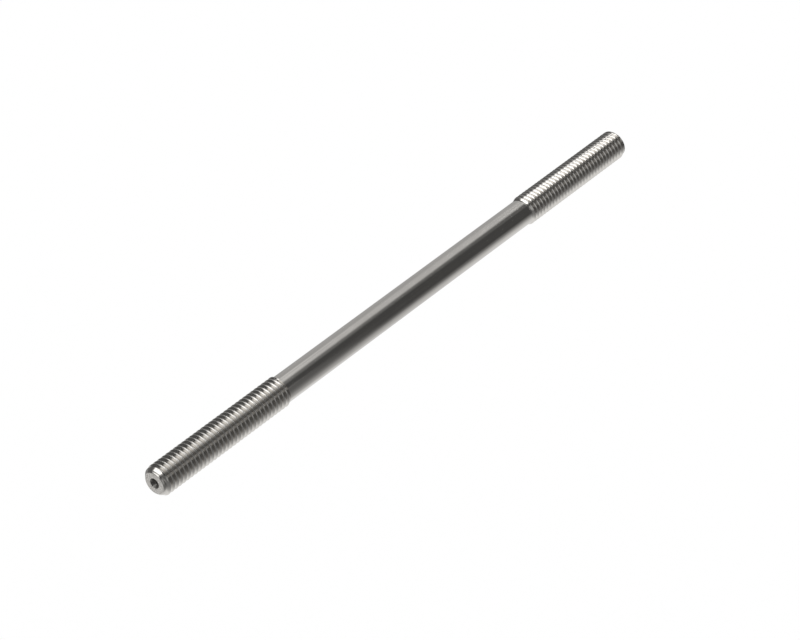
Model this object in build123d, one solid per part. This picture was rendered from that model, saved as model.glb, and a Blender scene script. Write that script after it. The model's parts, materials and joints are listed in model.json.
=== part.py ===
from build123d import *
from math import radians, tan
import os

# Adjusting bolt: a straight round steel rod with the same M6 x 1 thread at both ends,
# a plain shank between the threads, chamfered end faces and a centre hole in each face.
# It runs along X. A round rod rolls, so it has no rest of its own: the origin is on its axis,
# halfway along it.
# All lengths are in millimetres.

# Rod
overall_length = 135.5         # end face to end face
shank_diameter = 5.3           # plain bar between the threads, as rolled threads start from

# Threads: each one is its envelope, a cylinder of the major diameter
thread_major_diameter = 6.0    # M6 x 1
thread_length = 32.0           # end face to the last full turn
shoulder_angle = 45.0          # run-out from the last full turn down to the shank

# End faces
end_face_diameter = 4.25       # below the root of the thread, so that a nut starts freely
end_chamfer_angle = 45.0       # lead of the thread

# Centre holes, drilled for turning between centres
centre_mouth_diameter = 2.0
centre_pilot_diameter = 1.0
centre_cone_angle = 60.0       # whole angle of the countersink
centre_hole_depth = 1.9        # end face to the last full diameter of the pilot
pilot_tip_angle = 118.0        # whole angle of the drill's point


def cone_length(larger_diameter, smaller_diameter, angle_to_axis):
    """Length along the axis in which a cone at this angle joins the two diameters."""
    return (larger_diameter - smaller_diameter) / 2 / tan(radians(angle_to_axis))


def rod_blank():
    """The rod's outside, turned about X with its middle at the origin."""
    half_length = overall_length / 2
    thread_end = half_length - thread_length
    shoulder_length = cone_length(thread_major_diameter, shank_diameter, shoulder_angle)
    chamfer_length = cone_length(thread_major_diameter, end_face_diameter, end_chamfer_angle)
    half_outline = [
        (thread_end - shoulder_length, shank_diameter / 2),
        (thread_end, thread_major_diameter / 2),
        (half_length - chamfer_length, thread_major_diameter / 2),
        (half_length, end_face_diameter / 2),
        (half_length, 0),
    ]
    mirrored_half = [(-x, radius) for x, radius in reversed(half_outline)]
    section = make_face(Polyline(*mirrored_half, *half_outline, close=True))
    return revolve(section, Axis.X)


def centre_hole():
    """The tool's volume for one centre hole, opening at the +X end face."""
    face = overall_length / 2
    cone_depth = cone_length(centre_mouth_diameter, centre_pilot_diameter, centre_cone_angle / 2)
    tip_length = cone_length(centre_pilot_diameter, 0, pilot_tip_angle / 2)
    outline = [
        (face - centre_hole_depth - tip_length, 0),
        (face - centre_hole_depth, centre_pilot_diameter / 2),
        (face - cone_depth, centre_pilot_diameter / 2),
        (face, centre_mouth_diameter / 2),
        (face, 0),
    ]
    section = make_face(Polyline(*outline, close=True))
    return revolve(section, Axis.X)


def adjusting_bolt():
    """The finished one-piece rod, drilled at both ends."""
    drilled = centre_hole()
    return rod_blank() - drilled - mirror(drilled, about=Plane.YZ)


os.makedirs("parts", exist_ok=True)
bolt = adjusting_bolt()
bolt.label = "adjusting_bolt"
export_step(bolt, "parts/adjusting_bolt.step")
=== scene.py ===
import json
import math

import bmesh
import bpy
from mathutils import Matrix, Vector


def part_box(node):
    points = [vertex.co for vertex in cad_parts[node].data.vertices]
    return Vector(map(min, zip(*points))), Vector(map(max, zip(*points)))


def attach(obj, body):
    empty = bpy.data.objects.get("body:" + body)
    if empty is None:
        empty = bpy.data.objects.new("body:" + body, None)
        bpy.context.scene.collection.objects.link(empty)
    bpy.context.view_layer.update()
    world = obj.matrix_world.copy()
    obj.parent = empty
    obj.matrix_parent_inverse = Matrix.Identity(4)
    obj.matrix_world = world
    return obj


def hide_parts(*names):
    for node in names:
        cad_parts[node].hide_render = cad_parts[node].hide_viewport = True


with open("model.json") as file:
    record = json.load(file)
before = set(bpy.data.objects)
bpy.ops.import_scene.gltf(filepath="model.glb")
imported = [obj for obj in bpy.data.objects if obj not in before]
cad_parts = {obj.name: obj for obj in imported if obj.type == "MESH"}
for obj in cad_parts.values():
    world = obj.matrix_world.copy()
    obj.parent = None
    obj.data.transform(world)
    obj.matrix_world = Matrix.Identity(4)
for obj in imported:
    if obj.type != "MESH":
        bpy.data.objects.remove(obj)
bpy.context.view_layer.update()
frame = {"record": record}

MM = 0.001
NODE = "adjusting_bolt"

# Sizes from the frame. The rod lies along X, with its near end at -X and its middle at the origin
low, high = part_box(NODE)
HALF_LENGTH = high[0]
NOMINAL_RADIUS = high[1]
thread_mount = frame["record"]["mounts"][0]
THREAD_MIDDLE = abs(thread_mount["pos_m"][0])
THREAD_WALL = thread_mount["dims"]["length_mm"] * MM

# Sizes of the real rod that the frame doesn't list
SHANK_RADIUS = 2.65 * MM
FACE_RADIUS = 2.125 * MM
CENTRE_MOUTH_RADIUS = 1.0 * MM
CENTRE_PILOT_RADIUS = 0.5 * MM
CENTRE_CONE_HALF_ANGLE = math.radians(30)
CENTRE_DEPTH = 1.9 * MM
PILOT_TIP_HALF_ANGLE = math.radians(59)
FACE_EDGE_BREAK = 0.06 * MM             # rounding of the end face's outer edge
MOUTH_EDGE_BREAK = 0.04 * MM            # rounding of the centre hole's mouth

# Metric thread, rolled a little under its nominal size
PITCH = 1.0 * MM
CREST_RADIUS = NOMINAL_RADIUS - 0.05 * MM
PITCH_RADIUS = 2.635 * MM               # where ridge and groove are equally wide
FLANK_ANGLE = math.radians(30)
FLANK_SLOPE = 1 / math.tan(FLANK_ANGLE)
CREST_ROUNDING = 0.03 * MM
ROOT_ROUNDING = 0.14 * MM

# The ridge is one helix with a crest's middle at x = start + PITCH * turns, at an angle of turns from +Y.
# Each thread fades out near the shank: first the ridge, then the groove beside it
NEAR_THREAD_START = -HALF_LENGTH + 0.46 * MM
FAR_THREAD_START = HALF_LENGTH + 0.95 * MM
NEAR_RIDGE_FADE = (32.13, 32.27)        # turns where it starts to fade and where it is gone
NEAR_GROOVE_FADE = (32.0, 32.4)
FAR_RIDGE_FADE = (-31.84, -31.92)
FAR_GROOVE_FADE = (-32.2, -32.75)

# Derived places along the rod, as distances from an end face
CHAMFER_LENGTH = HALF_LENGTH - THREAD_MIDDLE - THREAD_WALL / 2
THREAD_END = CHAMFER_LENGTH + THREAD_WALL
RUN_OUT = NOMINAL_RADIUS - SHANK_RADIUS
THREAD_FOOT = THREAD_END + RUN_OUT + PITCH

# Mesh
COLUMNS = 80                            # flats round the rod
SHANK_STEPS = 24
CONE_STEPS = 4
FACE_STEPS = 5
CREST_ROWS = (-1, -0.3, 0.18, 0.5)      # rows across a crest's rounded corner, in lengths of its tangent
ROOT_ROW = 0.55                         # one more row across a rounded root, as a share of its half width
MOUTH_LIP = (0.3, 0.1)                  # the middle of a rounded mouth, in edge breaks inward and outward
FACE_LIP = 0.25                         # the middle of the end face's rounded edge, in edge breaks
CHAMFER_ROWS = (1, 3)                   # rows on the chamfer, in edge breaks from the end face
ROW_SNAP = 0.02 * MM                    # a row that comes this close to an end ring ends on it
FOOT_MARGIN = 0.03 * MM                 # a ring this close to a shoulder keeps its shading off the shank
SHARP_ANGLE = math.radians(35)          # edges that turn by more than this aren't shaded smooth
SLOTS = ("shank", "thread", "face", "hole")
SHANK, THREAD, FACE, HOLE = range(len(SLOTS))


def crest_half_width():
    """Half the width of the ridge where its two flanks would meet the crest's cylinder."""
    return PITCH / 4 - (CREST_RADIUS - PITCH_RADIUS) / FLANK_SLOPE


def thread_radius(phase):
    """Radius of the thread at this share of a pitch from a crest's middle."""
    along = abs((phase + 0.5) % 1.0 - 0.5) * PITCH
    to_root = PITCH / 2 - along
    past_corner = along - crest_half_width()
    corner_tangent = CREST_ROUNDING * math.tan(FLANK_ANGLE)
    if past_corner <= -corner_tangent:
        return CREST_RADIUS
    if past_corner < corner_tangent / 2:
        across = past_corner + corner_tangent
        return CREST_RADIUS - CREST_ROUNDING + math.sqrt(CREST_ROUNDING ** 2 - across ** 2)
    if to_root < ROOT_ROUNDING * math.cos(FLANK_ANGLE):
        sharp_root = PITCH_RADIUS - PITCH / 4 * FLANK_SLOPE
        middle = sharp_root + ROOT_ROUNDING / math.sin(FLANK_ANGLE)
        return middle - math.sqrt(ROOT_ROUNDING ** 2 - to_root ** 2)
    return PITCH_RADIUS + (PITCH / 4 - along) * FLANK_SLOPE


def thread_phases():
    """Where the mesh has rows, from one crest's middle to the next, as shares of the pitch."""
    corner = crest_half_width() / PITCH
    tangent = CREST_ROUNDING * math.tan(FLANK_ANGLE) / PITCH
    root = 0.5 - ROOT_ROUNDING * math.cos(FLANK_ANGLE) / PITCH
    shank = 0.25 + (PITCH_RADIUS - SHANK_RADIUS) / FLANK_SLOPE / PITCH
    crest = [corner + tangent * lengths for lengths in CREST_ROWS]
    half = crest + [shank, root, root + (0.5 - root) * ROOT_ROW]
    return half + [0.5] + [1 - phase for phase in reversed(half)]


def chamfer_radius(distance):
    """Radius of the lead chamfer at this distance from the end face."""
    return FACE_RADIUS + (NOMINAL_RADIUS - FACE_RADIUS) * distance / CHAMFER_LENGTH


def fade_share(turns, fade):
    """1 where the ridge or groove is whole, 0 where it is gone, and a smooth run between."""
    full, gone = fade
    share = min(max((gone - turns) / (gone - full), 0.0), 1.0)
    return share * share * (3 - 2 * share)


def formed_radius(phase, turns, ridge_fade, groove_fade):
    """Radius at this share of a pitch past the ridge that is this many turns along the helix."""
    whole = thread_radius(phase)
    if whole > SHANK_RADIUS:
        share = fade_share(turns + round(phase), ridge_fade)
    else:
        share = fade_share(turns + 0.5, groove_fade)
    return SHANK_RADIUS + (whole - SHANK_RADIUS) * share


class RodMesh:
    """Collects rings of vertices, and the faces between them, for a shape wound about the X axis."""

    def __init__(self):
        self.vertices = []
        self.faces = []
        self.slots = []

    def vertex(self, x, radius, angle):
        self.vertices.append((x, radius * math.cos(angle), radius * math.sin(angle)))
        return len(self.vertices) - 1

    def ring(self, x, radius):
        return [self.vertex(x, radius, 2 * math.pi * column / COLUMNS) for column in range(COLUMNS)]

    def face(self, corners, slot):
        kept = [corner for place, corner in enumerate(corners) if corner != corners[place - 1]]
        if len(kept) >= 3:
            self.faces.append(kept)
            self.slots.append(slot)

    def join(self, ring_a, ring_b, slot):
        for column in range(COLUMNS):
            after = (column + 1) % COLUMNS
            self.face([ring_a[column], ring_b[column], ring_b[after], ring_a[after]], slot)

    def cap(self, x, ring, slot):
        tip = self.vertex(x, 0.0, 0.0)
        for column in range(COLUMNS):
            self.face([tip, ring[column], ring[(column + 1) % COLUMNS]], slot)

    def lathe(self, outline, slot):
        """Rings along an outline of (x, radius) points. Returns the first and the last ring."""
        rings = [self.ring(x, radius) for x, radius in outline]
        for ring_a, ring_b in zip(rings, rings[1:]):
            self.join(ring_a, ring_b, slot)
        return rings[0], rings[-1]

    def wind_thread(self, ring_a, ring_b, x_a, x_b, start, radius_at):
        """Helical rows of a right-hand thread between two rings. Rows that would pass a ring end on it."""
        phases = thread_phases()
        grid = {}

        def corner(row, column):
            if column == COLUMNS:
                row, column = row + len(phases), 0
            turn, place = divmod(row, len(phases))
            x = start + PITCH * (turn + phases[place] + column / COLUMNS)
            if x <= x_a + ROW_SNAP:
                return ring_a[column]
            if x >= x_b - ROW_SNAP:
                return ring_b[column]
            if (row, column) not in grid:
                radius = radius_at(x, phases[place], turn + column / COLUMNS)
                grid[row, column] = self.vertex(x, radius, 2 * math.pi * column / COLUMNS)
            return grid[row, column]

        first_row = (math.floor((x_a - start) / PITCH) - 2) * len(phases)
        last_row = (math.ceil((x_b - start) / PITCH) + 1) * len(phases)
        for row in range(first_row, last_row):
            for column in range(COLUMNS):
                self.face([corner(row, column), corner(row + 1, column),
                           corner(row + 1, column + 1), corner(row, column + 1)], THREAD)


def centre_hole_outline():
    """The centre hole from the pilot's floor to its mouth, as (distance from the end face, radius)."""
    slope = math.tan(CENTRE_CONE_HALF_ANGLE)
    cone_depth = (CENTRE_MOUTH_RADIUS - CENTRE_PILOT_RADIUS) / slope
    pilot = [(CENTRE_DEPTH, CENTRE_PILOT_RADIUS), (cone_depth, CENTRE_PILOT_RADIUS)]
    cone = []
    for step in range(1, CONE_STEPS):
        climbed = cone_depth * step / CONE_STEPS
        cone.append((cone_depth * (1 - step / CONE_STEPS), CENTRE_PILOT_RADIUS + climbed * slope))
    lip_depth, lip_growth = (MOUTH_EDGE_BREAK * share for share in MOUTH_LIP)
    mouth = [(MOUTH_EDGE_BREAK, CENTRE_MOUTH_RADIUS - MOUTH_EDGE_BREAK * slope),
             (lip_depth, CENTRE_MOUTH_RADIUS + lip_growth),
             (0.0, CENTRE_MOUTH_RADIUS + MOUTH_EDGE_BREAK)]
    return pilot + cone + mouth


def build_end(rod, sign, thread_start, ridge_fade, groove_fade):
    """One end of the rod, from centre hole to thread. Returns the ring where the shank starts."""
    def x_at(distance):
        return sign * (HALF_LENGTH - distance)

    def placed(outline):
        return [(x_at(distance), radius) for distance, radius in outline]

    hole_floor, mouth = rod.lathe(placed(centre_hole_outline()), HOLE)
    tip_depth = CENTRE_DEPTH + CENTRE_PILOT_RADIUS / math.tan(PILOT_TIP_HALF_ANGLE)
    rod.cap(x_at(tip_depth), hole_floor, HOLE)

    inner = CENTRE_MOUTH_RADIUS + MOUTH_EDGE_BREAK
    outer = FACE_RADIUS - FACE_EDGE_BREAK
    face_outline = [(0.0, inner + (outer - inner) * step / FACE_STEPS) for step in range(1, FACE_STEPS + 1)]
    face_inside, face_outside = rod.lathe(placed(face_outline), FACE)
    rod.join(mouth, face_inside, FACE)

    edge_outline = [(FACE_EDGE_BREAK * FACE_LIP, FACE_RADIUS - FACE_EDGE_BREAK * FACE_LIP)]
    for times in CHAMFER_ROWS:
        edge_outline.append((FACE_EDGE_BREAK * times, chamfer_radius(FACE_EDGE_BREAK * times)))
    edge_inside, edge_outside = rod.lathe(placed(edge_outline), THREAD)
    rod.join(face_outside, edge_inside, THREAD)

    def radius_at(x, phase, turns):
        formed = formed_radius(phase, turns, ridge_fade, groove_fade)
        return min(formed, chamfer_radius(HALF_LENGTH - sign * x))

    foot = rod.ring(x_at(THREAD_FOOT), SHANK_RADIUS)
    ends = [(edge_outside, x_at(edge_outline[-1][0])), (foot, x_at(THREAD_FOOT))]
    (ring_a, x_a), (ring_b, x_b) = ends if sign < 0 else reversed(ends)
    rod.wind_thread(ring_a, ring_b, x_a, x_b, thread_start, radius_at)
    return foot


def build_rod():
    """The whole rod as one closed mesh: near end, far end, and the shank between them."""
    rod = RodMesh()
    near_foot = build_end(rod, -1, NEAR_THREAD_START, NEAR_RIDGE_FADE, NEAR_GROOVE_FADE)
    far_foot = build_end(rod, 1, FAR_THREAD_START, FAR_RIDGE_FADE, FAR_GROOVE_FADE)
    shank_end = HALF_LENGTH - THREAD_FOOT - FOOT_MARGIN
    shank_places = [shank_end * (2 * step / SHANK_STEPS - 1) for step in range(SHANK_STEPS + 1)]
    shank_outline = [(x, SHANK_RADIUS) for x in shank_places]
    near_ring, far_ring = rod.lathe(shank_outline, SHANK)
    rod.join(near_foot, near_ring, SHANK)
    rod.join(far_ring, far_foot, SHANK)
    return rod


def make_piece(name, rod, materials):
    """A Blender object from the collected mesh, with faces turned outward and corners kept sharp."""
    mesh = bpy.data.meshes.new(name)
    mesh.from_pydata(rod.vertices, [], rod.faces)
    mesh.polygons.foreach_set("material_index", rod.slots)
    mesh.polygons.foreach_set("use_smooth", [True] * len(rod.faces))
    work = bmesh.new()
    work.from_mesh(mesh)
    bmesh.ops.recalc_face_normals(work, faces=work.faces)
    open_edges = sum(1 for edge in work.edges if not edge.is_manifold)
    volume = work.calc_volume(signed=True) / MM ** 3
    print(name + ": faces", len(work.faces), "open edges", open_edges, "volume mm3", round(volume, 1))
    work.to_mesh(mesh)
    work.free()
    mesh.set_sharp_from_angle(angle=SHARP_ANGLE)
    for material in materials:
        mesh.materials.append(material)
    piece = bpy.data.objects.new(name, mesh)
    bpy.context.collection.objects.link(piece)
    return piece


NOISE_MIDDLE = (0.3, 0.7)               # nearly all of a noise's values lie in here


class Nodes:
    """Short calls that add nodes to one material and link them."""

    def __init__(self, material):
        material.use_nodes = True
        self.nodes = material.node_tree.nodes
        self.links = material.node_tree.links

    def feed(self, socket, value):
        if isinstance(value, bpy.types.NodeSocket):
            self.links.new(value, socket)
        else:
            socket.default_value = value

    def math(self, operation, *values):
        made = self.nodes.new("ShaderNodeMath")
        made.operation = operation
        for place, value in enumerate(values):
            self.feed(made.inputs[place], value)
        return made.outputs[0]

    def vector(self, operation, *values):
        made = self.nodes.new("ShaderNodeVectorMath")
        made.operation = operation
        for place, value in enumerate(values):
            self.feed(made.inputs[place], value)
        return made.outputs["Value" if operation in ("DOT_PRODUCT", "LENGTH") else "Vector"]

    def position(self):
        """Where the surface is, in millimetres, in the part's own frame."""
        place = self.nodes.new("ShaderNodeTexCoord").outputs["Object"]
        return self.vector("MULTIPLY", place, (1 / MM, 1 / MM, 1 / MM))

    def from_axis(self, place):
        """How far this place is from the rod's axis."""
        return self.vector("LENGTH", self.vector("MULTIPLY", place, (0.0, 1.0, 1.0)))

    def stretched_noise(self, place, scales, detail=2.0):
        """Noise from 0 to 1 with its own number of grains per millimetre along X, Y and Z."""
        made = self.nodes.new("ShaderNodeTexNoise")
        self.feed(made.inputs["Vector"], self.vector("MULTIPLY", place, scales))
        made.inputs["Scale"].default_value = 1.0
        made.inputs["Detail"].default_value = detail
        return made.outputs["Fac"]

    def span(self, value, from_low, from_high, to_low, to_high, smooth=False):
        """The value moved from one range to the other, and held at the ends."""
        made = self.nodes.new("ShaderNodeMapRange")
        made.interpolation_type = "SMOOTHSTEP" if smooth else "LINEAR"
        self.feed(made.inputs["Value"], value)
        limits = {"From Min": from_low, "From Max": from_high, "To Min": to_low, "To Max": to_high}
        for name, number in limits.items():
            self.feed(made.inputs[name], number)
        return made.outputs["Result"]

    def follow(self, noise, at_low, at_high):
        """A value that runs from at_low to at_high where the noise runs from low to high."""
        return self.span(noise, *NOISE_MIDDLE, at_low, at_high)

    def mix(self, share, value_a, value_b):
        made = self.nodes.new("ShaderNodeMix")
        made.data_type = "FLOAT"
        self.feed(made.inputs["Factor"], share)
        self.feed(made.inputs["A"], value_a)
        self.feed(made.inputs["B"], value_b)
        return made.outputs["Result"]

    def bump(self, height, distance, strength=1.0):
        made = self.nodes.new("ShaderNodeBump")
        self.feed(made.inputs["Height"], height)
        made.inputs["Distance"].default_value = distance
        made.inputs["Strength"].default_value = strength
        return made.outputs["Normal"]


STEEL_COLOR = (0.63, 0.61, 0.58)
ROOT_TO_FLANK = (2.36, 2.62)            # mm from the axis, where a thread's finish changes and where the painted shade of its roots fades out
FLANK_TO_CREST = (2.88, 2.93)
RING_WAVES = 40.0                       # facing rings on the end faces, in radians per mm
RING_WOBBLE = 0.12                      # mm
HOLE_SHADE_DEPTH = 1.2                     # mm into a centre hole, where its painted shade is darkest


def metal(name, paint):
    """A bare steel surface. paint(nodes) returns its brightness, its roughness and its bumped normal."""
    material = bpy.data.materials.new(name)
    nodes = Nodes(material)
    shader = material.node_tree.nodes["Principled BSDF"]
    brightness, roughness, normal = paint(nodes)
    tint = nodes.nodes.new("ShaderNodeVectorMath")
    tint.operation = "SCALE"
    tint.inputs[0].default_value = STEEL_COLOR
    nodes.feed(tint.inputs["Scale"], brightness)
    nodes.links.new(tint.outputs["Vector"], shader.inputs["Base Color"])
    nodes.feed(shader.inputs["Roughness"], roughness)
    nodes.links.new(normal, shader.inputs["Normal"])
    shader.inputs["Metallic"].default_value = 1.0
    return material


def drawn_steel(nodes):
    """The shank: bright drawn bar, with faint lines along it and a little handling grey."""
    place = nodes.position()
    lines = nodes.stretched_noise(place, (0.05, 3.0, 3.0), 3.0)
    clouds = nodes.stretched_noise(place, (0.35, 0.5, 0.5))
    brightness = nodes.math("ADD", nodes.follow(lines, 0.96, 1.0), nodes.follow(clouds, -0.02, 0.02))
    roughness = nodes.math("ADD", nodes.follow(lines, 0.08, 0.12), nodes.follow(clouds, 0.0, 0.03))
    return brightness, roughness, nodes.bump(lines, 0.0006 * MM)


def rolled_steel(nodes):
    """The threads: flanks burnished by the rolling dies, rougher crests, and rougher roots darkened with
    painted shade.
    """
    place = nodes.position()
    radius = nodes.from_axis(place)
    flank = nodes.span(radius, *ROOT_TO_FLANK, 0.0, 1.0, smooth=True)
    crest = nodes.span(radius, *FLANK_TO_CREST, 0.0, 1.0, smooth=True)
    grain = nodes.stretched_noise(place, (2.5, 1.2, 1.2), 3.0)
    # Painted shade: the roots are painted darker than the flanks, deeper in the groove is darker
    brightness = nodes.math("MULTIPLY", nodes.mix(flank, 0.86, 1.0), nodes.follow(grain, 0.95, 1.0))
    root_roughness = 0.2
    flank_roughness = nodes.follow(grain, 0.07, 0.11)
    crest_roughness = 0.14
    roughness = nodes.mix(crest, nodes.mix(flank, root_roughness, flank_roughness), crest_roughness)
    return brightness, roughness, nodes.bump(grain, 0.0015 * MM)


def sheared_steel(nodes):
    """The end faces: dull, with the rings of the facing tool and a mottled grain."""
    place = nodes.position()
    radius = nodes.from_axis(place)
    wobble = nodes.stretched_noise(place, (1.0, 1.5, 1.5))
    wavy_radius = nodes.math("ADD", radius, nodes.math("MULTIPLY", wobble, RING_WOBBLE))
    rings = nodes.math("SINE", nodes.math("MULTIPLY", wavy_radius, RING_WAVES))
    mottle = nodes.stretched_noise(place, (3.5, 3.5, 3.5), 3.0)
    brightness = nodes.math("ADD", nodes.follow(mottle, 0.6, 1.06), nodes.math("MULTIPLY", rings, 0.03))
    roughness = nodes.follow(mottle, 0.48, 0.38)
    height = nodes.math("ADD", nodes.math("MULTIPLY", rings, 0.4), mottle)
    return brightness, roughness, nodes.bump(height, 0.004 * MM)


def drilled_steel(nodes):
    """The centre holes: drill marks round the wall, and painted shade that darkens the wall towards the
    bottom.
    """
    place = nodes.position()
    x = nodes.math("ABSOLUTE", nodes.vector("DOT_PRODUCT", place, (1.0, 0.0, 0.0)))
    outward = nodes.span(x, HALF_LENGTH / MM - HOLE_SHADE_DEPTH, HALF_LENGTH / MM, 0.0, 1.0)
    grain = nodes.stretched_noise(place, (9.0, 1.0, 1.0), 3.0)
    # Painted shade: the wall is painted darker the deeper it lies in the hole
    brightness = nodes.math("MULTIPLY", nodes.mix(outward, 0.3, 0.6), nodes.follow(grain, 0.85, 1.0))
    roughness = nodes.follow(grain, 0.3, 0.4)
    return brightness, roughness, nodes.bump(grain, 0.003 * MM)


finishes = (drawn_steel, rolled_steel, sheared_steel, drilled_steel)
rod_materials = [metal(slot + "_steel", finish) for slot, finish in zip(SLOTS, finishes)]
rod_piece = make_piece("rod", build_rod(), rod_materials)
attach(rod_piece, "root")
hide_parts(NODE)

# Floor and world: white to the camera and in reflections, plain light on everything else
FLOOR_DROP = 257 * MM                   # the rod is held by its thread this far above the floor
FLOOR_REACH = 4.0                       # metres to each side
FLOOR_COLOR = 0.9


def floor_material():
    material = bpy.data.materials.new("floor")
    nodes = Nodes(material)
    shader = material.node_tree.nodes["Principled BSDF"]
    shader.inputs["Base Color"].default_value = (FLOOR_COLOR, FLOOR_COLOR, FLOOR_COLOR, 1)
    shader.inputs["Roughness"].default_value = 1.0
    shader.inputs["Specular IOR Level"].default_value = 0.0
    shader.inputs["Emission Color"].default_value = (1, 1, 1, 1)
    light_path = nodes.nodes.new("ShaderNodeLightPath").outputs
    seen = nodes.math("MAXIMUM", light_path["Is Camera Ray"], light_path["Is Glossy Ray"])
    seen = nodes.math("MAXIMUM", seen, light_path["Is Transmission Ray"])
    nodes.feed(shader.inputs["Emission Strength"], nodes.math("MULTIPLY", seen, 1.0 - FLOOR_COLOR))
    return material


def make_floor():
    height = low[2] - FLOOR_DROP
    corners = [(x, y, height) for x, y in ((-FLOOR_REACH, -FLOOR_REACH), (FLOOR_REACH, -FLOOR_REACH),
                                           (FLOOR_REACH, FLOOR_REACH), (-FLOOR_REACH, FLOOR_REACH))]
    mesh = bpy.data.meshes.new("floor")
    mesh.from_pydata(corners, [], [(0, 1, 2, 3)])
    mesh.materials.append(floor_material())
    floor = bpy.data.objects.new("floor", mesh)
    bpy.context.collection.objects.link(floor)


def make_world():
    world = bpy.data.worlds.new("studio")
    bpy.context.scene.world = world
    world.use_nodes = True
    world.node_tree.nodes["Background"].inputs["Color"].default_value = (1, 1, 1, 1)
    world.node_tree.nodes["Background"].inputs["Strength"].default_value = 1.0
    world.cycles.sampling_method = "NONE"


make_floor()
make_world()

# Light tent: what the bright steel mirrors, by direction from the rod's middle. Azimuth 0 is +X, 90 is +Y.
# Its cloth is brighter low down and overhead. A card covers the cards that come before it in the list
TENT_RADIUS = 300 * MM
TENT_CLOTH = ((-90, 1.3), (-60, 1.0), (-45, 0.5), (-30, 0.25), (0, 0.15), (45, 0.15),
              (60, 0.25), (75, 0.8), (90, 1.3))                # elevation, brightness
TENT_CARDS = (
    # name, azimuth, elevation, half width, half height in degrees, softness of the edge, brightness
    ("back wall", 50, 30, 15, 40, 0.1, 0.5),
    ("top lamp", 55, 65, 17, 17, 0.75, 2.3),
    ("left low", 160, 10, 20, 10, 0.4, 1.0),
    ("left lamp", 165, 25, 20, 8, 0.3, 3.0),
    ("left spill", 160, 55, 20, 25, 0.6, 1.0),
    ("upper left flag", 140, 40, 15, 10, 0.2, 0.05),
    ("left table", 140, -30, 30, 15, 0.4, 1.0),
    ("camera opening", 200, 30, 15, 15, 0.2, 0.05),
    ("left flag", 145, 5, 18, 12, 0.3, 0.1),
    ("front gap", 205, 5, 8, 15, 0.4, 0.5),
    ("front flag", 235, 0, 10, 20, 0.4, 0.05),
    ("front panel", 260, 30, 10, 10, 0.4, 0.8),
    ("front panel right", 290, 30, 12, 10, 0.3, 0.4),
    ("right flag", 320, 15, 15, 35, 0.15, 0.08),
    ("back sweep", 10, -35, 40, 15, 0.5, 0.9),
    ("back corner", 25, 40, 15, 20, 0.5, 0.65),
    ("back lamp", 15, 20, 15, 10, 0.2, 4.0),
    ("back lamp tip", 10, 35, 5, 5, 0.2, 2.5),
)
CARD_SQUARENESS = 4.0                   # 2 gives ellipses, more gives rounded rectangles


def tent_direction(azimuth, elevation):
    """The unit vector from the middle of the rod towards this place on the tent."""
    return Vector((math.cos(elevation) * math.cos(azimuth), math.cos(elevation) * math.sin(azimuth),
                   math.sin(elevation)))


def cloth_brightness(nodes, direction):
    """The bare cloth's brightness, in straight steps between the elevations of the list."""
    elevation = nodes.math("ARCSINE", nodes.vector("DOT_PRODUCT", direction, (0.0, 0.0, 1.0)))
    brightest = max(level for _, level in TENT_CLOTH)
    ramp = nodes.nodes.new("ShaderNodeFloatCurve")
    nodes.feed(ramp.inputs["Value"], nodes.span(elevation, -math.pi / 2, math.pi / 2, 0.0, 1.0))
    curve = ramp.mapping.curves[0]
    while len(curve.points) < len(TENT_CLOTH):
        curve.points.new(0.5, 0.5)
    for point, (degrees, level) in zip(curve.points, TENT_CLOTH):
        point.location = ((degrees + 90) / 180, level / brightest)
        point.handle_type = "VECTOR"
    ramp.mapping.update()
    return nodes.math("MULTIPLY", ramp.outputs["Value"], brightest)


def card_cover(nodes, direction, azimuth, elevation, half_width, half_height, softness):
    """1 inside the card, 0 outside, with a soft edge."""
    forward = tent_direction(azimuth, elevation)
    right = Vector((-math.sin(azimuth), math.cos(azimuth), 0))
    squares = []
    for axis, half in ((right, half_width), (forward.cross(right), half_height)):
        share = nodes.math("DIVIDE", nodes.vector("DOT_PRODUCT", direction, axis), math.sin(half))
        squares.append(nodes.math("POWER", nodes.math("ABSOLUTE", share), CARD_SQUARENESS))
    apart = nodes.math("POWER", nodes.math("ADD", *squares), 1 / CARD_SQUARENESS)
    inside = nodes.span(apart, 1 - softness, 1 + softness, 1.0, 0.0, smooth=True)
    ahead = nodes.math("GREATER_THAN", nodes.vector("DOT_PRODUCT", direction, forward), 0.0)
    return nodes.math("MULTIPLY", inside, ahead)


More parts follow.
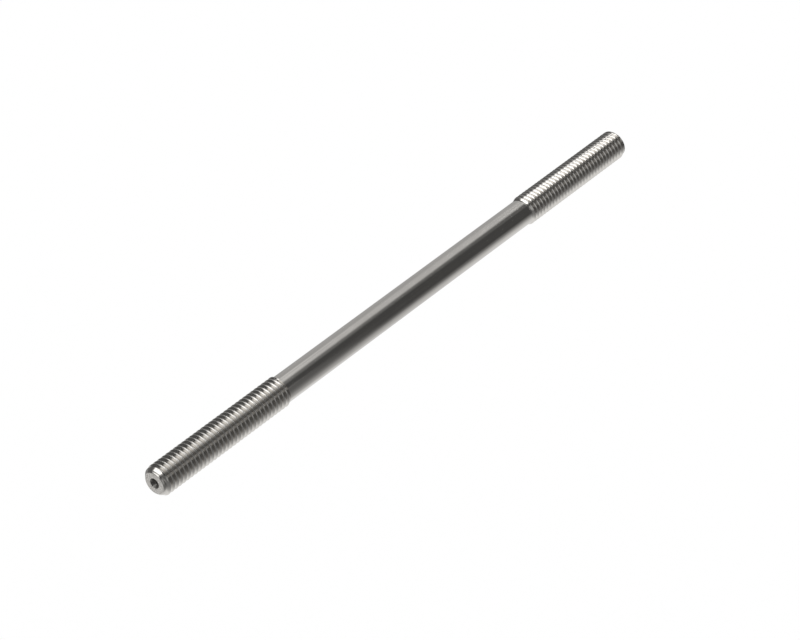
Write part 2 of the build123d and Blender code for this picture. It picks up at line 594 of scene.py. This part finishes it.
def tent_material():
    material = bpy.data.materials.new("light_tent")
    nodes = Nodes(material)
    nodes.nodes.clear()
    direction = nodes.vector("NORMALIZE", nodes.nodes.new("ShaderNodeTexCoord").outputs["Object"])
    brightness = cloth_brightness(nodes, direction)
    for _, azimuth, elevation, half_width, half_height, softness, level in TENT_CARDS:
        angles = [math.radians(degrees) for degrees in (azimuth, elevation, half_width, half_height)]
        brightness = nodes.mix(card_cover(nodes, direction, *angles, softness), brightness, level)
    emission = nodes.nodes.new("ShaderNodeEmission")
    nodes.feed(emission.inputs["Strength"], brightness)
    output = nodes.nodes.new("ShaderNodeOutputMaterial")
    nodes.feed(output.inputs["Surface"], emission.outputs["Emission"])
    material.cycles.emission_sampling = "NONE"
    return material


def make_tent():
    """A sphere about the rod that only reflections see."""
    work = bmesh.new()
    bmesh.ops.create_icosphere(work, subdivisions=5, radius=TENT_RADIUS)
    mesh = bpy.data.meshes.new("light_tent")
    work.to_mesh(mesh)
    work.free()
    mesh.materials.append(tent_material())
    tent = bpy.data.objects.new("light_tent", mesh)
    bpy.context.collection.objects.link(tent)
    tent.visible_camera = False
    tent.visible_diffuse = False
    tent.visible_shadow = False
    tent.visible_transmission = False


make_tent()

# Camera, at the photo's viewing angle. Its view is turned from +Y about Z by the azimuth, and looks down
# by the elevation
CAMERA_AZIMUTH = math.radians(-51.36)
CAMERA_ELEVATION = math.radians(36.55)
CAMERA_DISTANCE = 536.5 * MM
CAMERA_AIM = Vector((-3.43, -2.02, -1.70)) * MM
CAMERA_LENS = 131.35
CAMERA_CLIP = 0.01


def make_camera():
    look = Vector((-math.sin(CAMERA_AZIMUTH) * math.cos(CAMERA_ELEVATION),
                   math.cos(CAMERA_AZIMUTH) * math.cos(CAMERA_ELEVATION), -math.sin(CAMERA_ELEVATION)))
    data = bpy.data.cameras.new("camera")
    data.lens = CAMERA_LENS
    data.clip_start = CAMERA_CLIP
    camera = bpy.data.objects.new("camera", data)
    camera.location = CAMERA_AIM - look * CAMERA_DISTANCE
    camera.rotation_euler = look.to_track_quat("-Z", "Y").to_euler()
    bpy.context.collection.objects.link(camera)
    bpy.context.scene.camera = camera


make_camera()
bpy.context.scene.view_settings.view_transform = "Standard"
